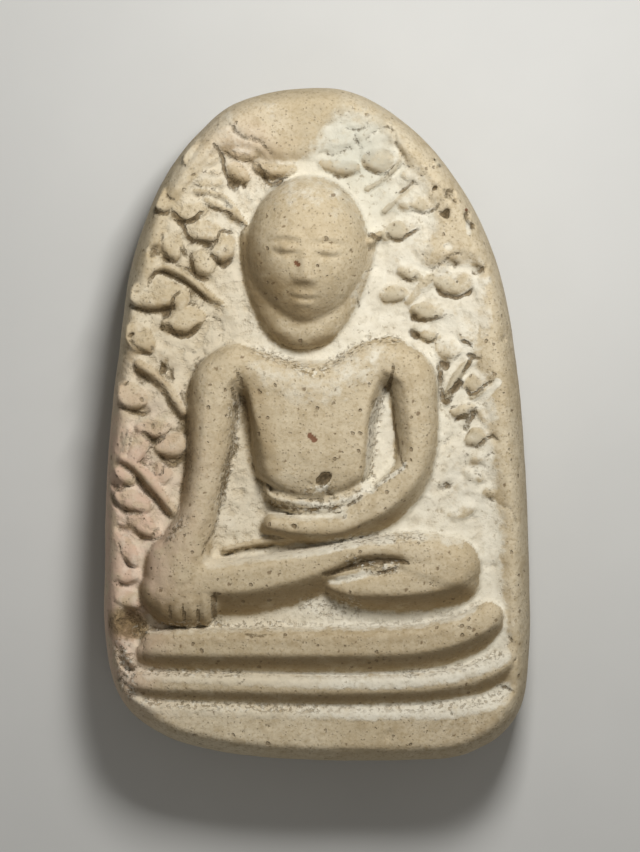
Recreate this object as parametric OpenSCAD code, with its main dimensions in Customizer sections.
// Pressed clay votive tablet: a rounded-top slab with a seated figure in relief, on a two-tier
// throne and under a tree of leaves. One solid, lying on its flat back with the relief facing up.
// The middle of the back is the origin and +Y runs to the rounded top.

/* [Slab] */
// Width of the tablet at its widest
tablet_w = 21.4; // [17:0.1:28]
// Height of the tablet from its foot to its rounded top
tablet_h = 33.8; // [27:0.1:44]
// Thickness from the flat back to the rim
body_t = 6.0; // [4:0.1:9]
// How far the round of the front edge reaches in
front_round = 1.1; // [0.4:0.05:1.8]
// How far the round of the front edge reaches in at the foot
foot_round = 0.9; // [0.4:0.05:2.4]
// How far the worn round of the back edge reaches in
back_round = 1.2; // [0.4:0.05:1.8]
// Depth of the sunk ground below the rim
ground_sink = 0.55; // [0.3:0.05:1]

/* [Figure] */
// Width of the head across the temples
head_w = 6.2; // [4.5:0.1:8]
// Length of the head from crown to chin
head_l = 7.7; // [6:0.1:9.5]
// Rise of the head above the ground
head_rise = 2.8; // [1.8:0.1:3.8]
// Width across both ears
ears_w = 6.8; // [5:0.1:8.6]
// Rise of the ears and the neck above the ground
neck_rise = 1.25; // [0.8:0.05:2]
// Width of the torso below the arms
torso_w = 5.4; // [4:0.1:7]
// Rise of the torso above the ground
torso_rise = 1.75; // [1:0.05:2.5]
// Radius of the navel
navel_r = 0.42; // [0.2:0.02:0.7]
// Depth of the navel below the torso
navel_depth = 0.45; // [0.2:0.05:0.8]
// Width of an upper arm
arm_w = 2.2; // [1.4:0.05:2.8]
// Rise of the arms above the ground
arm_rise = 1.6; // [1:0.05:2.3]
// Width of a finger
finger_w = 0.85; // [0.5:0.05:1.1]
// Width of a shin
shin_w = 1.8; // [1.2:0.05:2.4]
// Width of a bent knee and of the thigh behind it
knee_w = 2.9; // [2:0.05:3.6]
// Rise of the legs above the ground
leg_rise = 1.6; // [1:0.05:2.3]

/* [Throne] */
// Width of the upper tier, front to back of its roll
tier_top_w = 2.4; // [1.6:0.05:3]
// Rise of the upper tier above the ground
tier_top_rise = 1.35; // [0.8:0.05:1.9]
// Width of the lower tier
tier_low_w = 1.6; // [1:0.05:2]
// Rise of the lower tier above the ground
tier_low_rise = 0.95; // [0.5:0.05:1.4]

/* [Tree] */
// Length of a common leaf
leaf_l = 2.2; // [1.4:0.05:3]
// Width of a common leaf
leaf_w = 1.15; // [0.7:0.05:1.6]
// Rise of a common leaf above the ground
leaf_rise = 0.52; // [0.3:0.02:0.9]
// Width of a common twig
twig_w = 0.5; // [0.3:0.05:0.9]
// Rise of a common twig above the ground
twig_rise = 0.44; // [0.3:0.02:0.9]
// Radius of a common pit between the leaves
pit_r = 0.4; // [0.2:0.05:0.7]
// Depth of a common pit below the ground
pit_depth = 0.35; // [0.1:0.05:0.6]

/* [Hidden] */
clay = [0.80, 0.73, 0.60];
// Height of the sunk ground that all the relief stands on
ground_z = body_t - ground_sink;
// How far each form of the relief goes on below the ground, so that it is one with the slab
root = 0.5;
// How far the highest leaves may stand above the rim
over_rim = 0.3;
// How far a small form of the face is let into the head
face_root = 0.35;
// How far up each pit and hollow is cut, so that it is open above the ground
cut_over = 0.25;
// Thickness of the flat top of a leaf, before it is joined with the foot of the leaf
leaf_top = 0.02;
// Head turned a little in the plane of the tablet
head_tilt = -4;
// The direction that the short steep sides of the limbs face, mostly to the head of the tablet
headward = [0.1, 0.995];
// Share of a limb's lower half width that is flat. From there on its lower side is a leaning wall.
flat_share = 0.42;
// How fast a limb's top falls away, and how its leaning wall curves
crest_power = 1.1;
wall_power = 0.9;
// Places are percent of the tablet's width from its middle, and percent of its height.
head_at = [-2.3, 25.3];
navel_at = [1.6, -7.9];
// Outline, clockwise from the middle of the top
outline = [
    [0, 50], [13, 48], [25.5, 42], [36, 33], [43, 22.5], [46.5, 11], [48.8, -4], [50, -22],
    [50, -33], [48.7, -40.6], [45.3, -44.9], [39, -48], [28, -49.9], [0, -50], [-20, -49], [-35.5, -46.5],
    [-46, -41], [-49.8, -32], [-50, -22], [-49.5, -8], [-48, 3.5], [-46.5, 11], [-44.5, 21],
    [-40.5, 30], [-35, 37.5], [-27.5, 43.5], [-18, 48]];
// Edge of the sunk ground, clockwise from the middle of the top
ground_edge = [
    [-1.5, 41.5], [1.5, 45], [8, 47], [14, 46], [18.5, 43.5], [21, 40], [25.5, 37], [28.5, 32],
    [29.5, 28.5], [27, 24.5], [33, 25], [39, 24], [40.5, 19], [39.5, 14.5], [38.5, 10], [41.5, 6],
    [41.5, 0], [42.5, -4], [44, -11], [45.3, -16], [45, -24], [45.8, -30], [45.8, -36], [44, -40.3],
    [34, -41.3], [20, -41.8], [0, -41.8], [-20, -41.4], [-36, -41], [-43.5, -39.5], [-46.4, -36],
    [-47, -30], [-47.3, -22], [-47.8, -14], [-47, -6], [-46, 1], [-45.5, 8], [-43.5, 13], [-43.5, 18],
    [-39.5, 22], [-37.5, 27], [-36, 31], [-32, 34.5], [-27.5, 38.5], [-23, 41.6], [-19.5, 41.8],
    [-15.5, 41.2], [-10.5, 39.7], [-6, 39.6]];
// Each row of a limb is a place, then its width and its rise in percent of the limb's own. Where there is
// a fifth number, it is the width of the side towards the foot, which is a leaning wall.
shoulders = [
    [-19, 8.4, 108, 96], [-13, 7.4, 112, 102], [-5, 5.8, 120, 106], [1, 5.2, 124, 108],
    [7, 6.6, 120, 106], [12, 8.6, 112, 102], [17, 9.4, 108, 98]];
// The arm that hangs to the knee, and the arm that lies in the lap
arm_down = [
    [-20, 8.2, 108, 96, 108], [-23.4, 6, 112, 100, 112], [-24.4, 1.5, 112, 100, 112],
    [-24.9, -3, 104, 100, 104], [-26.2, -9, 92, 100, 92], [-28, -14, 92, 103, 92],
    [-30.6, -18.4, 120, 106, 120], [-31.6, -21.5, 136, 109, 136]];
arm_lap = [
    [17, 9, 108, 98, 108], [22, 6.8, 112, 100, 114], [23, 2, 100, 100, 106], [23.3, -3, 92, 100, 102],
    [21.4, -7.2, 80, 100, 118], [15.3, -10.9, 72, 100, 132], [9.5, -13.1, 60, 100, 114],
    [4, -14.9, 47, 100, 90], [-4, -14.9, 45, 98, 86], [-10.4, -14.4, 42, 90, 74]];
// The low fold of cloth in the lap, and the hem that runs around it
lap = [[-10, -10.4, 60, 60], [-3, -11.4, 78, 62], [4, -11.6, 80, 62], [9.5, -10.2, 70, 60]];
hem = [
    [-12.8, -8.6, 22, 58], [-10.4, -11.2, 22, 70], [-4, -12.1, 22, 74], [3, -12.3, 22, 74],
    [8.5, -11.4, 22, 74], [12.2, -9.2, 22, 66]];
knee_under_hand = [
    [-33.2, -20.6, 100, 94], [-33.4, -22.6, 102, 103], [-32.6, -24.4, 103, 106], [-31, -25.6, 100, 100]];
thigh = [[22, -19.8, 86, 94, 86], [27, -20.6, 102, 100, 110], [31.2, -21, 102, 100, 122]];
shin_over = [
    [-31, -22.8, 130, 97, 150], [-20, -22, 82, 100, 240], [-8.6, -20.7, 68, 100, 248],
    [0.7, -19.4, 56, 98, 205], [7, -18.6, 54, 97, 125], [14, -18.3, 66, 97, 82], [22, -18.7, 108, 97, 95],
    [30, -19.8, 124, 97, 124]];
shin_under = [
    [3.2, -23.8, 26, 60, 45], [9, -24, 66, 85, 112], [19, -23.4, 104, 98, 162], [27, -22.4, 130, 100, 186],
    [31.6, -21.5, 150, 98, 196]];
// The clay that fills the gap between the crossed shins up to a thin line
shin_gap = [[5, -22.1, 46, 70], [12, -21.2, 62, 78], [20, -20.3, 66, 84]];
sash = [[-21.5, -18.5, 20, 33], [-13, -17.4, 26, 39], [-5, -16.9, 26, 36]];
tier_top = [
    [-38.6, -32.4, 45, 66, 105], [-33, -32, 53, 90, 132], [-20, -31.9, 53, 98, 142], [0, -31.8, 53, 100, 147],
    [18, -31.6, 53, 100, 148], [28, -30.9, 54, 98, 142], [36, -29.4, 58, 92, 122], [40, -28.4, 62, 78, 85]];
tier_low = [
    [-41.4, -37.9, 48, 62, 110], [-36, -38, 52, 90, 138], [-20, -38.2, 52, 97, 142], [0, -38.5, 52, 100, 142],
    [20, -38.3, 52, 100, 142], [31, -37.6, 54, 97, 142], [39, -36.3, 58, 85, 130], [44, -34.8, 54, 60, 90]];
// Fingers from knuckle to tip, in percent of the finger's width and the leg's rise
fingers = [
    [[-36.2, -25, 105, 96], [-35.9, -26.6, 105, 88], [-35.7, -27.9, 95, 66]],
    [[-32.9, -25.6, 105, 101], [-32.7, -27.2, 105, 92], [-32.6, -28.7, 95, 70]],
    [[-29.4, -25.8, 105, 101], [-29.3, -27.4, 105, 92], [-29.2, -28.9, 95, 72]],
    [[-26.2, -25.4, 105, 98], [-26.2, -27.1, 100, 90], [-26.1, -28.7, 90, 70]]];
// Slices of the low form that gives the neck and the long ears, from the neck up: place in percent of half
// the head's length from its middle, width in percent of that across the ears, and rise in percent
neck_slices = [
    [-125, 8, 45], [-118, 33, 75], [-105, 53, 94], [-85, 68, 100], [-60, 82, 100], [-25, 94, 98],
    [5, 100, 94], [20, 100, 84], [30, 93, 50]];
// Slices of the torso from the waist up: place along the height, then the middle in percent of the
// tablet's width, and the slice's width and rise in percent of the torso's
torso_slices = [
    [-11.9, 0, 54, 26], [-11.2, -0.2, 72, 72], [-9.8, -0.6, 88, 92], [-7.6, -0.9, 102, 98],
    [-4, -1, 110, 102], [0, -1.2, 114, 100], [3, -1, 122, 99], [6, -0.6, 132, 94], [8.2, -0.4, 136, 62]];
// Leaves: place, angle, then length, width and rise in percent of the common leaf's
leaves = [
    [-9.5, 37.9, -5, 101, 94, 100], [-19.2, 41, -28, 101, 102, 90], [-26.6, 39.6, 15, 85, 112, 86],
    [-18.6, 37.2, -35, 64, 65, 81], [-36.4, 32.9, -10, 62, 90, 105], [-30.6, 31.7, -6, 96, 106, 105],
    [-26.6, 28.5, -6, 100, 100, 105], [-33.9, 27.2, 96, 96, 94, 100], [-26.6, 24, -50, 64, 110, 100],
    [-22, 26.2, 80, 68, 110, 100], [-37.6, 19.3, 4, 117, 143, 105], [-31.4, 18.3, 70, 47, 61, 81],
    [-31, 15.3, 14, 100, 110, 105], [-41.2, 12.6, -42, 81, 102, 100], [-43.4, 4.1, -18, 85, 110, 105],
    [-38, -0.5, -2, 77, 86, 100], [-34.2, -3, 12, 72, 114, 95], [-41.6, -3.4, 70, 74, 86, 95],
    [-44.8, -7.6, -35, 53, 65, 90], [-43, -11.3, -22, 85, 98, 100], [-40.4, -14.9, -32, 89, 90, 100],
    [-44, -18.6, -60, 79, 73, 95], [-43.6, -22.4, 20, 53, 65, 86], [-43.8, -25.8, -15, 64, 78, 95],
    [-43.6, -33.6, -82, 74, 57, 86], [-35.8, -7.2, -70, 49, 73, 81], [-25.5, 35.8, -5, 69, 53, 76],
    [9.2, 45.2, 10, 64, 102, 76], [4.6, 42.5, 2, 100, 98, 76], [14.6, 39.8, 30, 91, 151, 72],
    [5, 38.3, -12, 96, 90, 80], [22.6, 37.1, 18, 60, 65, 72], [23.8, 33.1, -2, 113, 110, 84],
    [19.6, 28.6, 14, 100, 90, 84], [27.2, 26.6, 20, 89, 106, 76], [21.4, 22.4, -28, 64, 69, 76],
    [32, 21.2, 0, 96, 118, 84], [18, 19.3, 5, 68, 82, 65], [26.6, 16.8, 2, 91, 90, 84],
    [26.6, 13.1, 0, 55, 65, 76], [35.2, 13.9, 78, 64, 98, 80], [30.8, 11.2, -10, 64, 82, 76],
    [38.4, 6.6, 20, 89, 90, 80], [34.4, 2.1, 4, 68, 69, 80], [39.4, 1.6, 100, 57, 69, 76],
    [38.6, -1.5, 22, 81, 98, 84], [38.6, -4.4, 24, 64, 61, 76], [33.6, -12.8, 20, 64, 61, 46],
    [40.8, -9.6, 40, 53, 61, 50], [36.4, -7.4, -25, 53, 53, 54]];
// Twigs: each a path of places with width and rise in percent of the common twig's
twigs = [
    [[-39.5, 21.6, 70, 80], [-36.2, 23.2, 85, 100], [-31, 22, 92, 100], [-26.4, 19.6, 92, 100],
        [-21.5, 17.4, 70, 80]],
    [[-30, 37.2, 57, 74], [-23, 36.9, 64, 80]],
    [[-28.5, 34.4, 64, 80], [-22, 33.6, 71, 90], [-17.5, 30.4, 64, 80]],
    [[-26, 33, 71, 85], [-20.5, 31.3, 78, 90], [-16.8, 29.6, 64, 80]],
    [[-41.5, 8.8, 114, 100], [-37.4, 6.9, 157, 113], [-34.3, 4.6, 164, 113], [-31.3, 1.8, 128, 100]],
    [[-45.4, -5, 93, 90], [-41.2, -6.9, 135, 113], [-37.2, -9.8, 142, 113], [-33.4, -12.9, 128, 100]],
    [[-43.6, -1, 57, 85], [-44.6, -4.2, 57, 85]],
    [[36.2, 9.6, 85, 96], [33.2, 7.6, 114, 108], [31.2, 5.2, 114, 108], [30, 3.2, 85, 90]],
    [[28.2, 38.6, 71, 50], [20.8, 34.2, 78, 80], [15.5, 31.3, 64, 68]],
    [[36, 4, 71, 96], [42, 5.8, 78, 108]],
    [[18.6, 43.2, 57, 74], [19.6, 39.6, 64, 80], [16.4, 36.4, 64, 80], [11.5, 34.6, 57, 68]]];
// Pits: place, then radius and depth in percent of the common pit's
pits = [[-44, -29.2, 162, 128], [-38, 25.4, 100, 100], [-35.2, 16.4, 100, 86], [30, 8.7, 75, 100]];

function place(p) = [p[0] * tablet_w / 100, p[1] * tablet_h / 100];
// A curve through the points: the Catmull-Rom form between b and c
function curve_point(a, b, c, d, t) =
    (2 * b + (c - a) * t + (2 * a - 5 * b + 4 * c - d) * t * t + (3 * b - a - 3 * c + d) * t * t * t) / 2;
function curved_loop(p, steps) = [
    for (i = [0:len(p) - 1]) for (k = [0:steps - 1])
        curve_point(p[(i + len(p) - 1) % len(p)], p[i], p[(i + 1) % len(p)], p[(i + 2) % len(p)], k / steps)];
function curved_path(p, steps) = concat(
    [for (i = [0:len(p) - 2]) for (k = [0:steps - 1])
        curve_point(p[max(i - 1, 0)], p[i], p[i + 1], p[min(i + 2, len(p) - 1)], k / steps)],
    [p[len(p) - 1]]);
// The same loop moved and stretched so that it just fills the tablet's width and height
function fitted(loop, low, high) = [
    for (p = loop)
        [(p[0] - low[0]) / (high[0] - low[0]) * 100 - 50, (p[1] - low[1]) / (high[1] - low[1]) * 100 - 50]];
function lows(loop) = [min([for (p = loop) p[0]]), min([for (p = loop) p[1]])];
function highs(loop) = [max([for (p = loop) p[0]]), max([for (p = loop) p[1]])];
raw_outline = curved_loop(outline, 3);
full_outline = [for (p = fitted(raw_outline, lows(raw_outline), highs(raw_outline))) place(p)];

// A solid through a row of rings that have the same number of points
module skin(rings) {
    around = len(rings[0]);
    last = (len(rings) - 1) * around;
    sides = [
        for (j = [0:len(rings) - 2]) for (i = [0:around - 1])
            let (a = j * around + i, b = j * around + (i + 1) % around)
            each [[a, b + around, a + around], [a, b, b + around]]];
    ends = [[for (i = [around - 1:-1:0]) i], [for (i = [0:around - 1]) last + i]];
    polyhedron(points = [for (ring = rings) each ring], faces = concat(ends, sides));
}

// How much of a direction faces headward, from 0 to 1 with a smooth turn between
function headward_share(a) =
    let (t = min(max(headward[0] * cos(a) + headward[1] * sin(a) + 0.5, 0), 1)) t * t * (3 - 2 * t);

// One ring of a dome. The level is an angle from 0 at the foot to 90 at the crest.
function dome_ring(up, down, rise, level, sides, leans) =
    let (
        high = pow(sin(level), crest_power),
        round_out = cos(level),
        wall_out = leans ? flat_share + (1 - flat_share) * pow(1 - high, wall_power) : round_out)
    [for (i = [0:sides - 1])
        let (
            a = 360 * i / sides,
            share = headward_share(a),
            out = up * round_out * share + down * wall_out * (1 - share))
        [out * cos(a), out * sin(a), high * rise]];

// A low dome that stands on the ground, with one half width headward and another towards the foot
module dome(at, up, down, rise, sides, leans) {
    foot = [for (q = dome_ring(up, down, rise, 0, sides, leans)) [q[0], q[1], -root]];
    translate([at[0], at[1], ground_z])
        skin(concat([foot], [
            for (level = sides > 8 ? [0:25:75] : [0:38:76]) dome_ring(up, down, rise, level, sides, leans)]));
}

// A rounded ridge through the places of a path
module ridge(path, w, rise, steps = 2, sides = 10) {
    points = curved_path(path, steps);
    leans = len(path[0]) > 4;
    for (i = [0:len(points) - 2]) hull() {
        for (p = [points[i], points[i + 1]])
            dome(place(p), w * p[2] / 200, w * p[leans ? 4 : 2] / 200, rise * p[3] / 100, sides, leans);
    }
}

// The outline at one height, drawn in by a share of the edge rounds
function slab_ring(side_in, foot_in, z) = [
    for (p = full_outline)
        [p[0] * (1 - 2 * side_in / tablet_w), p[1] * (1 - 2 * (p[1] < 0 ? foot_in : side_in) / tablet_h), z]];

// The slab, or a taller one with the same edges
module slab(top_z = body_t) {
    widest_low = 0.3 * body_t;
    widest_high = 0.5 * body_t;
    skin(concat(
        [for (a = [0:30:90])
            slab_ring(back_round * (1 - sin(a)), back_round * (1 - sin(a)), widest_low * (1 - cos(a)))],
        [for (a = [0:22.5:90])
            slab_ring(front_round * (1 - cos(a)), foot_round * (1 - cos(a)),
                widest_high + (top_z - widest_high) * sin(a))]));
}

// The sunk ground. Its walls lean out, so it is wider at the rim by this share than on its floor.
module ground_cut() {
    rim_share = 1.02;
    floor_share = 0.98;
    cut_h = 1.2 * ground_sink;
    edge = [for (p = curved_loop(ground_edge, 2)) place(p)];
    translate([0, 0, ground_z])
        linear_extrude(cut_h, scale = rim_share / floor_share) polygon(edge * floor_share);
}

module throne() {
    ridge(tier_top, tier_top_w, tier_top_rise, 1);
    ridge(tier_low, tier_low_w, tier_low_rise, 1);
}

module legs() {
    ridge(shin_over, shin_w, leg_rise);
    ridge(shin_under, shin_w, leg_rise, 1);
    ridge(thigh, knee_w, leg_rise, 1, 14);
    ridge(knee_under_hand, knee_w, leg_rise, 1, 14);
    ridge(shin_gap, shin_w, leg_rise, 1, 8);
    ridge(sash, shin_w, leg_rise, 1, 8);
}

module torso() {
    ring_angles = [0:15:180];
    // How gently the left side, the right side and the top slope
    slope_powers = [1.1, 0.5];
    top_power = 0.8;
    skin([
        for (s = torso_slices)
            let (
                middle = s[1] * tablet_w / 100,
                half = torso_w * s[2] / 200,
                rise = torso_rise * s[3] / 100,
                y = s[0] * tablet_h / 100)
            concat(
                [for (a = ring_angles)
                    let (out = sign(cos(a)) * pow(abs(cos(a)), slope_powers[cos(a) < 0 ? 0 : 1]))
                    [middle + half * out, y, ground_z + rise * pow(sin(a), top_power)]],
                [[middle - half, y, ground_z - root], [middle + half, y, ground_z - root]])]);
    ridge(shoulders, arm_w, arm_rise, 1);
    ridge(lap, arm_w, arm_rise, 1, 8);
    ridge(hem, arm_w, arm_rise, 1, 6);
}

module arms() {
    ridge(arm_down, arm_w, arm_rise);
    ridge(arm_lap, arm_w, arm_rise);
    for (finger = fingers) ridge(finger, finger_w, leg_rise, 1, 6);
}

// Half width of the head's egg, and its height, at a place in shares of its half width and half length
function egg_half(t) = head_w / 2 * (1 - 0.2 * pow(max(-t, 0), 1.5));
function egg_rise(q, t) = head_rise * sqrt(max(0, 1 - t * t - q * q));

module egg() {
    skin([
        for (s = [-78:13:78])
            let (t = sin(s), half = egg_half(t) * cos(s), rise = head_rise * cos(s))
            concat(
                [for (a = [0:15:180]) [half * cos(a), t * head_l / 2, ground_z + rise * sin(a)]],
                [[-half, t * head_l / 2, ground_z - root], [half, t * head_l / 2, ground_z - root]])]);
}

// A small rounded form on the face: its place, half width, half length and how far it stands out, the last
// as a share of the head's rise
module feature(q, t, half_w, half_l, out, turn = 0) {
    translate([q * egg_half(t), t * head_l / 2, ground_z + egg_rise(q, t) - face_root])
        rotate([0, 0, turn])
            scale([half_w * head_w / 2, half_l * head_l / 2, face_root + out * head_rise])
                sphere(r = 1, $fn = 8);
}

module face() {
    hull() {
        feature(0, 0.1, 0.07, 0.05, 0.015);
        feature(0, -0.34, 0.12, 0.06, 0.095);
    }
    for (side = [-1, 1]) {
        feature(side * 0.12, -0.37, 0.08, 0.05, 0.035);
        feature(side * 0.35, 0.14, 0.27, 0.045, 0.018, side * -6);
        feature(side * 0.35, -0.01, 0.19, 0.075, 0.027);
    }
    feature(0, -0.56, 0.23, 0.045, 0.024);
    feature(0, -0.65, 0.19, 0.05, 0.024);
}

// A low form behind the head: the neck below it and the long ears beside it
module neck() {
    side_power = 0.7;
    skin([
        for (s = neck_slices)
            let (half = ears_w * s[1] / 200, y = s[0] * head_l / 200, rise = neck_rise * s[2] / 100)
            concat(
                [for (a = [0:20:180])
                    let (out = sign(cos(a)) * pow(abs(cos(a)), side_power))
                    [half * out, y, ground_z + rise * pow(sin(a), side_power)]],
                [[-half, y, ground_z - root], [half, y, ground_z - root]])]);
}

module head() {
    translate(concat(place(head_at), 0)) rotate([0, 0, head_tilt]) {
        egg();
        face();
        neck();
    }
}

// The outline of a leaf, pointed at both ends
module leaf_shape(l, w) {
    point_power = 1.3;
    polygon([
        for (a = [0:45:315]) [l / 2 * cos(a), w / 2 * sign(sin(a)) * pow(abs(sin(a)), point_power)]]);
}

// A leaf stands highest along its lower side, as if laid over the one below.
module leaf(p) {
    l = leaf_l * p[3] / 100;
    w = leaf_w * p[4] / 100;
    rise = leaf_rise * p[5] / 100;
    edge_share = 0.62;
    top_l_share = 0.74;
    top_w_share = 0.62;
    lower_side = 0.08 * w;
    at = place(p);
    hull() {
        translate([at[0], at[1], ground_z - root])
            rotate([0, 0, p[2]]) linear_extrude(root + edge_share * rise) leaf_shape(l, w);
        translate([at[0], at[1] - lower_side, ground_z + rise - leaf_top])
            rotate([0, 0, p[2]]) linear_extrude(leaf_top) leaf_shape(l * top_l_share, w * top_w_share);
    }
}

// The leaves and twigs, worn down to the round of the edge where they reach it
module tree() {
    intersection() {
        union() {
            for (p = leaves) leaf(p);
            for (twig = twigs) ridge(twig, twig_w, twig_rise, 1, 6);
        }
        slab(body_t + over_rim);
    }
}

// The pits between the leaves, and the navel
module hollow_cuts() {
    for (p = pits)
        translate(concat(place(p), ground_z + cut_over))
            scale([pit_r * p[2] / 100, pit_r * p[2] / 100, cut_over + pit_depth * p[3] / 100])
                sphere(r = 1, $fn = 14);
    translate(concat(place(navel_at), ground_z + torso_rise))
        scale([navel_r, navel_r, navel_depth])
            sphere(r = 1, $fn = 16);
}

module tablet() {
    color(clay) difference() {
        union() {
            difference() {
                slab();
                ground_cut();
            }
            tree();
            throne();
            legs();
            torso();
            arms();
            head();
        }
        hollow_cuts();
    }
}

tablet();
